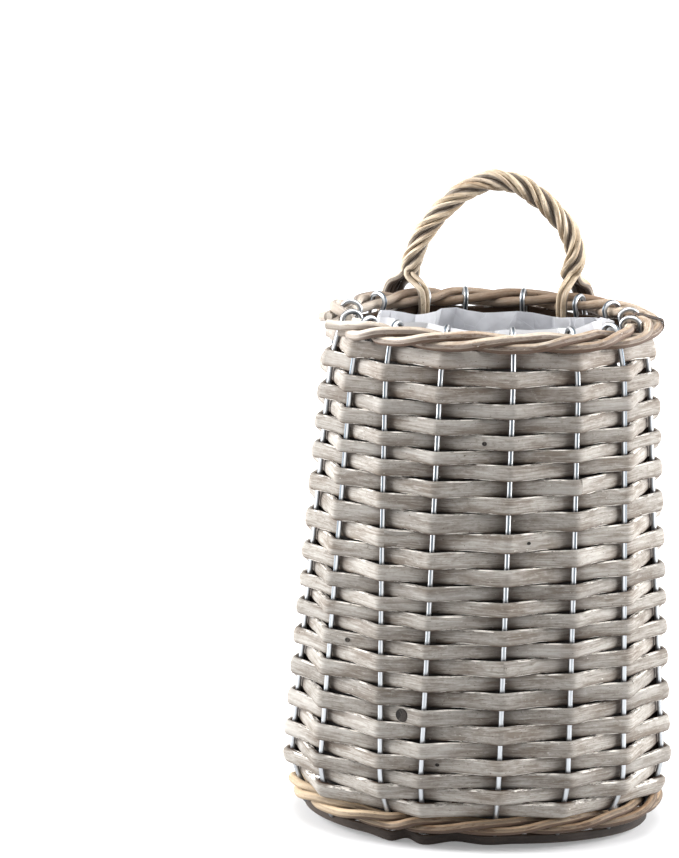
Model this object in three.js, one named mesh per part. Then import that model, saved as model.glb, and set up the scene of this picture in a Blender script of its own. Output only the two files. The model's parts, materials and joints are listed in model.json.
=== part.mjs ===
import * as THREE from 'three';

// A small wall basket of split willow woven round steel wires, with a twisted rim and handle.
// Millimetres, +Z up. The wall is behind it, at +Y, and the front looks along -Y.
// The origin is on the floor under the middle of the basket.

// Stock sizes: what the basket is woven from.
const wireDiameter = 2.8;
const rimRodDiameter = 5;
const footRodDiameter = 4.6;
const strandDiameter = 4.8;
const weaverThickness = 4;
const stripThickness = 2.6;
const stripWidth = 9;
const edgeStripThickness = 2.2;
const edgeStripHeight = 5.6;
const filmThickness = 0.4;
const tieWireDiameter = 0.7;

// Fits: the gap between pieces that touch, the gap between the weave and the wires, and the room
// that a wire has among the twisted rods.
const fitGap = 0.3;
const weaverGap = 0.45;
const strandGap = 0.75;
const slotGap = 1.1;

// The body: half of its width, and its depth before and behind the middle, on the line of the wires.
const rowCount = 29;
const rowPitch = 8.6;
const weaverHeight = 9.5;
const topHalfWidth = 83.8;
const topFrontDepth = 57.5;
const topBackDepth = 63.5;
const footHalfWidth = 102.1;
const footFrontDepth = 67.5;
const footBackDepth = 67.5;
const planRoundness = 2.15;

// The wall draws in a little under the rim and above the floor.
const rimDrawIn = 4;
const rimDrawHeight = 30;
const footDrawIn = 8.5;
const footDrawHeight = 27;
const footRowGap = 0.5;
const footDrop = 2.5;
const rimRowGap = 1;

// Where the sixteen wires stand, as shares of a turn from the right-hand end, seen from above.
const rimTurnShares = [0.033, 0.089, 0.147, 0.217, 0.275, 0.3205, 0.392, 0.469,
  0.544, 0.597, 0.646, 0.708, 0.7715, 0.838, 0.903, 0.972];
const footTurnShares = [0.031, 0.087, 0.147, 0.217, 0.275, 0.331, 0.394, 0.464,
  0.525, 0.6, 0.674, 0.708, 0.766, 0.824, 0.886, 0.975];

// Handle: the middle line of its rope, as shares of half its span and of its rise over the rim.
const handleHalfSpan = 44.5;
const handleRise = 59;
const handleTurns = 4;
const stepsPerTurn = 9;
const handleLineShares = [[-0.99, 0.12], [-0.96, 0.24], [-0.91, 0.37], [-0.81, 0.52], [-0.66, 0.67],
  [-0.44, 0.84], [-0.19, 0.96], [0.07, 1], [0.33, 0.95], [0.57, 0.83], [0.785, 0.68], [0.94, 0.51],
  [1, 0.34], [0.985, 0.21], [0.96, 0.12]];
const leftFootShare = 0.328;
const rightFootShare = 0.143;
const handleTuck = 12;
const handleKneeDrop = 1;
const innerFootLean = 4;
const outerFootLean = 8;
const kneeLeanShare = 0.3;

// Ends, hooks and tails.
const hookRise = 1.2;
const hookTail = 6;
const stubLengths = [12, 9, 4];
const stubLeanShare = 0.45;
const rimStartShare = 0.5417;
const rimEndShare = 0.047;
const footStartShare = 0.2083;
const footEndShare = 0.0025;
const weaverEndGap = 1;
const wireRunInset = 14;
const stripPitch = 9.8;
const stripFlat = 5;
const stripEnd = 4;
const edgeStripOut = 0.6;
const edgeStripTuck = 3.2;
const edgeStripLift = 0.7;

// Liner: how far it stands in from the wires beside the weave, at the rim and at the floor.
const linerWeaveInset = 7.8;
const linerRimInset = 14.6;
const linerRimNarrowing = 36;
const linerRimHeight = 24;
const linerFloorInset = 17;
const linerHeelInset = 14;
const linerHeelHeight = 6;
const linerHeelRise = 18;
const linerTopDrop = 2;

// The loop of thin tie wire that binds the rim rods at the right-hand front corner.
const tieShare = 0.969;
const tieTurns = 1.4;
const tieStepsPerTurn = 12;
const tieDrift = 3;
const tieGap = 0.5;

// Sizes that follow from those above.
const wireRadius = wireDiameter / 2;
const rimRodRadius = rimRodDiameter / 2;
const footRodRadius = footRodDiameter / 2;
const strandRadius = strandDiameter / 2;
const turn = 2 * Math.PI;
const wireCount = rimTurnShares.length;
const strandsInTwist = 3;
const stepsPerWire = 3;
const twistDwellShare = 0.055;
const twistMiddleTurn = turn / strandsInTwist * (1 - 2 * (1 / stepsPerWire - twistDwellShare));

const rimTwist = twistOf(rimRodRadius);
const footTwist = twistOf(footRodRadius);
const runLevel = stripThickness + fitGap + wireRadius;
const footLevel = runLevel + footDrop + footTwist.wireBend;
const lowRowLevel = footLevel + footTwist.halfHeight + footRowGap + weaverHeight / 2;
const highRowLevel = lowRowLevel + (rowCount - 1) * rowPitch;
const footDrawLevel = footLevel + footTwist.halfHeight;
const rimLevel = highRowLevel + weaverHeight / 2 + rimRowGap + rimTwist.halfHeight;
const rimTop = rimLevel + rimTwist.halfHeight;
const weaverInnerHeight = 2 * (rowPitch - fitGap) - weaverHeight;
const weaverOffset = wireRadius + weaverGap + weaverThickness / 2;

// Three rods twisted round the wires: how far each rod swings out and up from the twist's middle line,
// where that line stands from the wires, and the bend of a wire that goes round the inner rod.
function twistOf(rodRadius) {
  const wireBend = rodRadius + wireRadius + slotGap;
  const swing = wireBend / (1 - 1 / 4);
  const climb = (2 * rodRadius + fitGap) / Math.sqrt(3) / Math.cos(twistMiddleTurn / 2);
  const halfHeight = climb * Math.sin(turn / 6) + rodRadius;
  return { rodRadius, wireBend, swing, climb, halfHeight, lineOffset: swing / 4 };
}

function mix(from, to, share) {
  return from + (to - from) * share;
}

function nearShare(distance, reach) {
  return Math.max(0, 1 - distance / reach) ** 2;
}

// The share of a turn at which a place along the ring of wires stands; a whole number is a wire.
function turnShare(place, height) {
  const rise = (height - footLevel) / (rimLevel - footLevel);
  const wire = Math.floor(place);
  const shareOf = (index) => {
    const lap = Math.floor(index / wireCount);
    const slot = index - lap * wireCount;
    return lap + mix(footTurnShares[slot], rimTurnShares[slot], rise);
  };
  return mix(shareOf(wire), shareOf(wire + 1), place - wire);
}

// A point of the wall at a place along the ring and a height, so far out from the line of the wires.
function wallPoint(place, height, outward = 0) {
  const rise = (height - footLevel) / (rimLevel - footLevel);
  const drawIn = rimDrawIn * nearShare(rimLevel - height, rimDrawHeight)
    + footDrawIn * nearShare(Math.max(0, height - footDrawLevel), footDrawHeight);
  const angle = turn * turnShare(place, height);
  const halfWidth = mix(footHalfWidth, topHalfWidth, rise) - drawIn;
  const front = mix(footFrontDepth, topFrontDepth, rise) - drawIn;
  const back = mix(footBackDepth, topBackDepth, rise) - drawIn;
  const depth = Math.sin(angle) < 0 ? front : back;
  const power = 2 / planRoundness;
  const across = Math.sign(Math.cos(angle)) * Math.abs(Math.cos(angle)) ** power;
  const along = Math.sign(Math.sin(angle)) * Math.abs(Math.sin(angle)) ** power;
  const slopeAcross = Math.sign(across) * Math.abs(across) ** (planRoundness - 1) / halfWidth;
  const slopeAlong = Math.sign(along) * Math.abs(along) ** (planRoundness - 1) / depth;
  const slope = Math.hypot(slopeAcross, slopeAlong);
  return new THREE.Vector3(
    halfWidth * across + outward * slopeAcross / slope,
    depth * along + outward * slopeAlong / slope,
    height);
}

// Joins a row of equal rings of points into one closed body with flat ends. From the turned ring on
// the facets are cut along their other diagonal, so that the two faces of a thin wall stay parallel.
function loft(rings, turnedRing = rings.length) {
  const sides = rings[0].length;
  const positions = rings.flat().flatMap((point) => point.toArray());
  const triangles = [];
  for (let ring = 0; ring + 1 < rings.length; ring += 1) {
    for (let side = 0; side < sides; side += 1) {
      const near = ring * sides + side;
      const next = ring * sides + (side + 1) % sides;
      if (ring < turnedRing) {
        triangles.push(near, next, next + sides, near, next + sides, near + sides);
      } else {
        triangles.push(near, next, near + sides, next, next + sides, near + sides);
      }
    }
  }
  const last = (rings.length - 1) * sides;
  for (let side = 1; side + 1 < sides; side += 1) {
    triangles.push(0, side + 1, side, last, last + side, last + side + 1);
  }
  let volume = 0;
  const corner = (index) => new THREE.Vector3().fromArray(positions, 3 * index);
  for (let first = 0; first < triangles.length; first += 3) {
    const [a, b, c] = triangles.slice(first, first + 3).map(corner);
    volume += a.dot(b.cross(c));
  }
  const geometry = new THREE.BufferGeometry();
  geometry.setAttribute('position', new THREE.Float32BufferAttribute(positions, 3));
  geometry.setIndex(volume < 0 ? triangles.reverse() : triangles);
  geometry.computeVertexNormals();
  return geometry;
}

// A round rod along a path of points; its rings turn as little as they can from one to the next.
function rodAlong(path, radius, sides) {
  const rings = [];
  const side = new THREE.Vector3();
  for (let index = 0; index < path.length; index += 1) {
    const before = path[Math.max(0, index - 1)];
    const after = path[Math.min(path.length - 1, index + 1)];
    const arriving = path[index].clone().sub(before).normalize();
    const leaving = after.clone().sub(path[index]).normalize();
    const forward = arriving.add(leaving).normalize();
    if (index === 0) {
      side.set(forward.z, forward.x, forward.y);
    }
    side.addScaledVector(forward, -side.dot(forward)).normalize();
    const rise = forward.clone().cross(side);
    const ring = [];
    for (let corner = 0; corner < sides; corner += 1) {
      const angle = turn * corner / sides;
      ring.push(path[index].clone()
        .addScaledVector(side, radius * Math.cos(angle))
        .addScaledVector(rise, radius * Math.sin(angle)));
    }
    rings.push(ring);
  }
  return loft(rings);
}

const basket = new THREE.Group();

function addPiece(name, geometry, color, roughness, metalness = 0) {
  const material = new THREE.MeshStandardMaterial({ color, roughness, metalness });
  const piece = new THREE.Mesh(geometry, material);
  piece.name = name;
  basket.add(piece);
}

// Split willow weavers. Each row goes once round, before one wire and behind the next, and its two
// ends meet behind a wire at the back. The flat side faces in, and the round side faces out.
function weaverRow(row) {
  const height = highRowLevel - (row - 1) * rowPitch;
  const joint = row % 2 === 0 ? 3 : 4;
  const rings = [];
  for (let step = 0; step <= wireCount; step += 1) {
    const wire = joint + step;
    const inside = (row + wire) % 2 === 1;
    const middle = inside ? -weaverOffset : weaverOffset;
    const half = (inside ? weaverInnerHeight : weaverHeight) / 2;
    const thick = weaverThickness / 2;
    const outline = [[-thick, -0.88 * half], [-0.3 * thick, -half], [thick, -0.45 * half],
      [thick, 0.45 * half], [-0.3 * thick, half], [-thick, 0.88 * half]];
    const ring = outline.map(([out, up]) => wallPoint(wire, height + up, middle + out));
    rings.push(ring);
  }
  const pullBack = (ring, neighbour) => ring.map((point, index) => {
    const along = neighbour[index].clone().sub(point).normalize();
    return point.clone().addScaledVector(along, weaverEndGap / 2);
  });
  const first = pullBack(rings[0], rings[1]);
  const last = pullBack(rings[wireCount], rings[wireCount - 1]);
  return loft([first, ...rings.slice(1, -1), last]);
}

for (let row = 1; row <= rowCount; row += 1) {
  const name = `weaver_row_${String(row).padStart(2, '0')}`;
  addPiece(name, weaverRow(row), '#b3a99b', 0.8);
}

// Three rods of a twist, each out over two wires and in behind the third.
function twistPoint(twist, level, rod, place) {
  const eased = place - twistDwellShare * Math.sin(turn * place) / Math.sin(turn / stepsPerWire);
  const angle = turn / strandsInTwist * (eased + rod) - turn / 6;
  const out = twist.lineOffset + twist.swing * Math.cos(angle);
  return wallPoint(place, level + twist.climb * Math.sin(angle), out);
}

// The rods of a twist start side by side, each with a straight stub of its own length before the
// start that leans out of the ring, and they end side by side a little before they meet the start.
function twistRod(twist, level, rod, startShare, stub, endShare) {
  const path = [];
  const start = startShare * wireCount;
  const end = start + wireCount * (1 - endShare);
  for (let place = start; place < end; place += 1 / stepsPerWire) {
    path.push(twistPoint(twist, level, rod, place));
  }
  path.push(twistPoint(twist, level, rod, end));
  if (stub > 0) {
    const middle = wallPoint(start, level);
    const along = middle.clone().sub(wallPoint(start + 1 / stepsPerWire, level)).normalize();
    const outward = wallPoint(start, level, stub).sub(middle).normalize();
    const lean = along.addScaledVector(outward, stubLeanShare).normalize();
    path.unshift(path[0].clone().addScaledVector(lean, stub));
  }
  return rodAlong(path, twist.rodRadius, 6);
}

for (let rod = 0; rod < strandsInTwist; rod += 1) {
  const geometry = twistRod(rimTwist, rimLevel, rod, rimStartShare, stubLengths[rod], rimEndShare);
  addPiece(`rim_rod_${rod + 1}`, geometry, '#a8957f', 0.7);
}
for (let rod = 0; rod < strandsInTwist; rod += 1) {
  const geometry = twistRod(footTwist, footLevel, rod, footStartShare, 0, footEndShare);
  addPiece(`foot_rod_${rod + 1}`, geometry, '#ad8f6e', 0.7);
}

// Steel wires. Each goes up the front and up the back in one piece, with a straight run across the
// floor of the basket between, and hooks over the inner rod of the rim at both ends.
function wireLeg(wire) {
  const path = [];
  const hookTop = rimLevel + hookRise;
  const bend = rimTwist.wireBend;
  const hookSteps = 6;
  path.push(wallPoint(wire, rimLevel - hookTail, -2 * bend));
  for (let step = 0; step <= hookSteps; step += 1) {
    const angle = Math.PI * (1 - step / hookSteps);
    const point = wallPoint(wire, rimLevel, bend * (Math.cos(angle) - 1));
    point.z = hookTop + bend * Math.sin(angle);
    path.push(point);
  }
  for (const share of [1, 0.75, 0.4, 0]) {
    path.push(wallPoint(wire, rimLevel - rimDrawHeight * (1 - share)));
  }
  for (const share of [0, 0.2, 0.4, 0.6, 0.8, 1]) {
    path.push(wallPoint(wire, footDrawLevel + footDrawHeight * (1 - share)));
  }
  path.push(wallPoint(wire, footLevel));
  const turnSteps = 3;
  for (let step = 1; step <= turnSteps; step += 1) {
    const angle = turn / 4 * step / turnSteps;
    const point = wallPoint(wire, footLevel, -footTwist.wireBend * (1 - Math.cos(angle)));
    point.z = footLevel - footTwist.wireBend * Math.sin(angle);
    path.push(point);
  }
  const inner = wallPoint(wire, footLevel, -wireRunInset);
  inner.z = runLevel;
  path.push(inner);
  return path;
}

function frontWire(pair) {
  return wireCount / 2 + pair;
}

function backWire(pair) {
  return wireCount / 2 - 1 - pair;
}

const wirePairs = wireCount / 2;
for (let pair = 0; pair < wirePairs; pair += 1) {
  const path = [...wireLeg(frontWire(pair)), ...wireLeg(backWire(pair)).reverse()];
  addPiece(`stake_wire_${pair + 1}`, rodAlong(path, wireRadius, 6), '#9a9c9e', 0.35, 1);
}

// Handle: three strands twisted into a rope. At each foot one strand tucks down inside the rim and
// two go down outside it, so that the handle straddles the twisted rods.
const strandSwing = (strandDiameter + strandGap) / Math.sqrt(3) / Math.cos(turn / stepsPerTurn / 2);
const footReach = rimTwist.swing + rimRodRadius + fitGap + strandRadius;

// A point at a foot of the handle, so far out from the rim's middle line, and so far along the rim
// away from the middle of the back.
function footPoint(share, reach, sideways, height) {
  const place = share * wireCount;
  const point = wallPoint(place, rimLevel, rimTwist.lineOffset + reach);
  const along = wallPoint(place + 1 / stepsPerWire, rimLevel).sub(wallPoint(place, rimLevel)).normalize();
  point.addScaledVector(along, -sideways * Math.sign(point.x));
  point.z = height;
  return point;
}

function strandFoot(share, strand) {
  if (strand === 0) {
    return [footPoint(share, -footReach, -innerFootLean, rimLevel - handleTuck),
      footPoint(share, -footReach, -innerFootLean * kneeLeanShare, rimTop - handleKneeDrop)];
  }
  const sideways = strandSwing * Math.sin(turn / strandsInTwist * strand);
  return [footPoint(share, footReach, sideways + outerFootLean, rimLevel - handleTuck),
    footPoint(share, footReach, sideways + outerFootLean * kneeLeanShare, rimTop - handleKneeDrop)];
}

function handleStrand(strand) {
  const leftFoot = footPoint(leftFootShare, 0, 0, rimTop);
  const rightFoot = footPoint(rightFootShare, 0, 0, rimTop);
  const line = new THREE.CatmullRomCurve3(handleLineShares.map(([across, up]) => new THREE.Vector3(
    handleHalfSpan * across,
    mix(leftFoot.y, rightFoot.y, (across + 1) / 2),
    rimTop + handleRise * up)));
  const path = strandFoot(leftFootShare, strand);
  const steps = handleTurns * stepsPerTurn;
  const frontward = new THREE.Vector3(0, -1, 0);
  for (let step = 0; step <= steps; step += 1) {
    const share = step / steps;
    const angle = turn * (strand / strandsInTwist - handleTurns * share);
    const outward = frontward.clone().cross(line.getTangentAt(share)).normalize();
    path.push(line.getPointAt(share)
      .addScaledVector(frontward, strandSwing * Math.cos(angle))
      .addScaledVector(outward, strandSwing * Math.sin(angle)));
  }
  return [...path, ...strandFoot(rightFootShare, strand).reverse()];
}

for (let strand = 0; strand < strandsInTwist; strand += 1) {
  const geometry = rodAlong(handleStrand(strand), strandRadius, 6);
  addPiece(`handle_strand_${strand + 1}`, geometry, '#b59c7c', 0.6);
}

// Split strips woven over and under the straight runs of the wires to close the floor. They lie
// flat where they cross a wire, and the lower ones are what the basket stands on.
const floorRuns = [];
for (let pair = 0; pair < wirePairs; pair += 1) {
  floorRuns.push({ front: wireLeg(frontWire(pair)).at(-1), back: wireLeg(backWire(pair)).at(-1) });
}
const floorFront = Math.min(...floorRuns.map((run) => run.front.y));
const floorBack = Math.max(...floorRuns.map((run) => run.back.y));
const stripCount = Math.floor((floorBack - floorFront) / stripPitch) - 1;

function baseStrip(strip) {
  const depth = (floorFront + floorBack) / 2 + (strip - (stripCount - 1) / 2) * stripPitch;
  const stations = [];
  for (let pair = 0; pair < wirePairs; pair += 1) {
    const { front, back } = floorRuns[pair];
    const share = (depth - front.y) / (back.y - front.y);
    if (front.y + stripWidth / 2 < depth && depth < back.y - stripWidth / 2) {
      const offset = wireRadius + fitGap + stripThickness / 2;
      const level = runLevel + ((pair + strip) % 2 === 0 ? offset : -offset);
      const across = mix(front.x, back.x, share);
      stations.push([across - stripFlat / 2, level], [across + stripFlat / 2, level]);
    }
  }
  stations[0][0] -= stripEnd;
  stations.at(-1)[0] += stripEnd;
  const corners = [[-1, -1], [1, -1], [1, 1], [-1, 1]];
  return loft(stations.map(([across, level]) => corners.map(([side, face]) => new THREE.Vector3(
    across,
    depth + side * stripWidth / 2,
    level + face * stripThickness / 2))));
}

for (let strip = 0; strip < stripCount; strip += 1) {
  addPiece(`base_strip_${strip + 1}`, baseStrip(strip), '#6b5646', 0.85);
}

// The strip that closes the edge of the floor. It stands on edge round the ends of the wire runs,
// bulges out before each wire and tucks in between, and its ends meet behind a wire at the back.
function edgeStrip() {
  const joint = 4;
  const corners = [[-1, 0], [1, 0], [1, 1], [-1, 1]];
  const ringAt = (place, out, lift) => corners.map(([face, top]) => {
    const point = wallPoint(place, footLevel, out + face * edgeStripThickness / 2);
    point.z = lift + top * edgeStripHeight;
    return point;
  });
  const endShare = weaverEndGap / 2 / (turn * footBackDepth / wireCount);
  const rings = [ringAt(joint + endShare, edgeStripOut, 0)];
  for (let wire = joint; wire < joint + wireCount; wire += 1) {
    if (wire > joint) {
      rings.push(ringAt(wire, edgeStripOut, 0));
    }
    rings.push(ringAt(wire + 0.5, -edgeStripTuck, edgeStripLift));
  }
  rings.push(ringAt(joint + wireCount - endShare, edgeStripOut, 0));
  return loft(rings);
}

addPiece('base_edge_strip', edgeStrip(), '#4d3f36', 0.85);

// Clear film liner: an open bag that stands on the base strips, lies just inside the weave and
// narrows under the rim, where the hooks and the handle's inner strands hold its edge in.
const linerFloor = runLevel + wireRadius + fitGap + stripThickness + fitGap;
const linerProfile = [
  [linerFloorInset, linerFloor],
  [linerHeelInset, linerFloor + linerHeelHeight],
  [linerWeaveInset, linerFloor + linerHeelRise],
  [linerWeaveInset, rimLevel - linerRimNarrowing],
  [linerRimInset, rimLevel - linerRimHeight],
  [linerRimInset, rimTop - linerTopDrop],
];

function linerRing(inset, height) {
  const ring = [];
  for (let wire = 0; wire < wireCount; wire += 1) {
    const point = wallPoint(wire, Math.max(height, footLevel), -inset);
    point.z = height;
    ring.push(point);
  }
  return ring;
}

const linerOutside = linerProfile.map(([inset, height]) => linerRing(inset, height));
const linerInside = linerProfile.map(([inset, height], index) => linerRing(
  inset + filmThickness,
  index === 0 ? height + filmThickness : height));
const linerRings = [...linerOutside, ...linerInside.reverse()];
addPiece('film_liner', loft(linerRings, linerOutside.length), '#e8ebee', 0.3);

// Thin tie wire, wound tightly round the three rim rods between two wires.
function tiePath() {
  const path = [];
  const tiePlace = tieShare * wireCount;
  const rods = [0, 1, 2].map((rod) => twistPoint(rimTwist, rimLevel, rod, tiePlace));
  const outward = wallPoint(tiePlace, rimLevel, rimRodRadius)
    .sub(wallPoint(tiePlace, rimLevel)).normalize();
  const clear = rimRodRadius + tieGap + tieWireDiameter / 2;
  const steps = Math.round(tieTurns * tieStepsPerTurn);
  for (let step = 0; step <= steps; step += 1) {
    const angle = turn * step / tieStepsPerTurn;
    const aim = outward.clone().multiplyScalar(Math.cos(angle));
    aim.z = Math.sin(angle);
    const reach = rods.map((rod) => rod.dot(aim));
    const rod = rods[reach.indexOf(Math.max(...reach))];
    const point = rod.clone().addScaledVector(aim, clear);
    point.y += tieDrift * (step / tieStepsPerTurn - tieTurns / 2);
    path.push(point);
  }
  return path;
}

addPiece('tie_wire', rodAlong(tiePath(), tieWireDiameter / 2, 5), '#4a4a4a', 0.5, 1);

export default basket;
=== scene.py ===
import json
import math
from functools import partial

import bmesh
import bpy
from mathutils import Matrix, Vector, noise

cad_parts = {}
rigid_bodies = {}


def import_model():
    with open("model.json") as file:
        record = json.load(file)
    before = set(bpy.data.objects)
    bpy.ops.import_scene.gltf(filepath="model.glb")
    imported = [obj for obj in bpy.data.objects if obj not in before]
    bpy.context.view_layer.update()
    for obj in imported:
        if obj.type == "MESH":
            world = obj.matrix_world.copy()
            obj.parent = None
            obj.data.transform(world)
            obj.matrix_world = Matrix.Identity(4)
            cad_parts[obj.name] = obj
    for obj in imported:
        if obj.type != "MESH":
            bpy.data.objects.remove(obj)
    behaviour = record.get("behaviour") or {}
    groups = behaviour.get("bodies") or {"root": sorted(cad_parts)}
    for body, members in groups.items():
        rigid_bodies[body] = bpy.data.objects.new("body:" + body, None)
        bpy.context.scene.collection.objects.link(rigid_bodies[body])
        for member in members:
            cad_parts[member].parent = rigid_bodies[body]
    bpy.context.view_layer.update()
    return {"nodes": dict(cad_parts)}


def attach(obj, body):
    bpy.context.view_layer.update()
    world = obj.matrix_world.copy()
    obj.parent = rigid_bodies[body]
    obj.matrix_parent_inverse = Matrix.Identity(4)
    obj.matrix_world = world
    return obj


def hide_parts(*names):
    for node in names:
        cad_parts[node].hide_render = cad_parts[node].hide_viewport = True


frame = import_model()

# Upright wires.
# Eight galvanised steel wires make the sixteen uprights. Each runs up the front and up the back
# in one piece, is bent under the floor of the basket, and is hooked by hand over the inner rim rod.
mm = 0.001
turn = 2 * math.pi
upward = Vector((0.0, 0.0, 1.0))
backward = Vector((0.0, 1.0, 0.0))
wire_radius = 1.4 * mm
rim_rod_radius = 2.5 * mm
foot_rod_radius = 2.3 * mm
fit_gap = 0.3 * mm
weaver_gap = 0.45 * mm
slot_gap = 1.1 * mm
strip_thickness = 2.6 * mm
row_count = 29
row_pitch = 8.6 * mm
weaver_height = 9.5 * mm
half_widths = (102.1 * mm, 83.8 * mm)
front_depths = (67.5 * mm, 57.5 * mm)
back_depths = (67.5 * mm, 63.5 * mm)
plan_roundness = 2.15
rim_draw_in, rim_draw_height = 4 * mm, 30 * mm
foot_draw_in, foot_draw_height = 8.5 * mm, 27 * mm
foot_drop = 2.5 * mm
foot_row_gap, rim_row_gap = 0.5 * mm, 1 * mm
rim_turn_shares = [0.033, 0.089, 0.147, 0.217, 0.275, 0.3205, 0.392, 0.469,
                   0.544, 0.597, 0.646, 0.708, 0.7715, 0.838, 0.903, 0.972]
foot_turn_shares = [0.031, 0.087, 0.147, 0.217, 0.275, 0.331, 0.394, 0.464,
                    0.525, 0.6, 0.674, 0.708, 0.766, 0.824, 0.886, 0.975]
wire_count = len(rim_turn_shares)
twist_dwell_share = 0.055
hook_rise, hook_tail, hook_squeeze = 0.2 * mm, 6 * mm, 0.84
wire_run_inset = 14 * mm
hook_steps, wall_steps, foot_steps = 16, 110, 8


def twist_of(rod_radius):
    """The middle line, swing and climb of three rods twisted round the wires."""
    bend = rod_radius + wire_radius + slot_gap
    swing = bend / (1 - 1 / 4)
    middle_turn = turn / 3 * (1 - 2 * (1 / 3 - twist_dwell_share))
    climb = (2 * rod_radius + fit_gap) / math.sqrt(3) / math.cos(middle_turn / 2)
    return {"bend": bend, "swing": swing, "climb": climb, "line": swing / 4,
            "half_height": climb * math.sin(turn / 6) + rod_radius, "pull": 1.0, "beaten": 1.0, "drop": 0.0}


rim_twist = twist_of(rim_rod_radius)
foot_twist = twist_of(foot_rod_radius)
run_level = strip_thickness + fit_gap + wire_radius
foot_level = run_level + foot_drop + foot_twist["bend"]
foot_draw_level = foot_level + foot_twist["half_height"]
low_row_level = foot_level + foot_twist["half_height"] + foot_row_gap + weaver_height / 2
high_row_level = low_row_level + (row_count - 1) * row_pitch
rim_level = high_row_level + weaver_height / 2 + rim_row_gap + rim_twist["half_height"]
rim_top = rim_level + rim_twist["half_height"]


def mix(low, high, share):
    """A value a share of the way from one to another."""
    return low + (high - low) * share


def near_share(distance, reach):
    """Is 1 at no distance, and falls softly to 0 at the reach."""
    return max(0.0, 1 - distance / reach) ** 2


def clamped(share):
    return min(1.0, max(0.0, share))


def signed_power(value, power):
    return math.copysign(abs(value) ** power, value)


def turn_share(place, height):
    """The share of a turn at which a place along the ring of wires stands."""
    rise = (height - foot_level) / (rim_level - foot_level)
    wire = math.floor(place)

    def share_of(index):
        lap, slot = divmod(index, wire_count)
        return lap + mix(foot_turn_shares[slot], rim_turn_shares[slot], rise)

    return mix(share_of(wire), share_of(wire + 1), place - wire)


def wall_point(place, height, outward=0.0, level=None):
    """A point of the wall at a place along the ring and a height, so far out from the wires."""
    rise = (height - foot_level) / (rim_level - foot_level)
    draw_in = (rim_draw_in * near_share(rim_level - height, rim_draw_height)
               + foot_draw_in * near_share(max(0.0, height - foot_draw_level), foot_draw_height))
    angle = turn * turn_share(place, height)
    half_width = mix(*half_widths, rise) - draw_in
    depth = mix(*(front_depths if math.sin(angle) < 0 else back_depths), rise) - draw_in
    power = 2 / plan_roundness
    across, along = signed_power(math.cos(angle), power), signed_power(math.sin(angle), power)
    slope = Vector((signed_power(across, plan_roundness - 1) / half_width,
                    signed_power(along, plan_roundness - 1) / depth, 0.0)).normalized()
    on_line = Vector((half_width * across, depth * along, height if level is None else level))
    return on_line + slope * outward


def connect(node, inputs):
    """Sets the inputs of a node, or links them to other nodes or their sockets."""
    for key, value in inputs.items():
        if isinstance(value, bpy.types.Node):
            value = value.outputs[0]
        if isinstance(value, bpy.types.NodeSocket):
            node.id_data.links.new(value, node.inputs[key])
        else:
            node.inputs[key].default_value = value
    return node


def add_node(tree, kind, inputs=None, **settings):
    """Adds a node, gives it its settings, and connects its inputs."""
    made = tree.nodes.new(kind)
    for name, value in settings.items():
        setattr(made, name, value)
    return connect(made, inputs or {})


def new_finish(name):
    """A new material, with what adds a node to it, and its shader."""
    finish = bpy.data.materials.new(name)
    finish.use_nodes = True
    tree = finish.node_tree
    return finish, partial(add_node, tree), tree.nodes["Principled BSDF"]


def new_object(name, data):
    made = bpy.data.objects.new(name, data)
    bpy.context.scene.collection.objects.link(made)
    return made


def linear(hex_colour):
    """An sRGB hex colour as linear red, green, blue and alpha."""
    parts = [int(hex_colour[place:place + 2], 16) / 255 for place in (1, 3, 5)]
    return [part / 12.92 if part <= 0.04045 else ((part + 0.055) / 1.055) ** 2.4 for part in parts] + [1.0]


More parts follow.
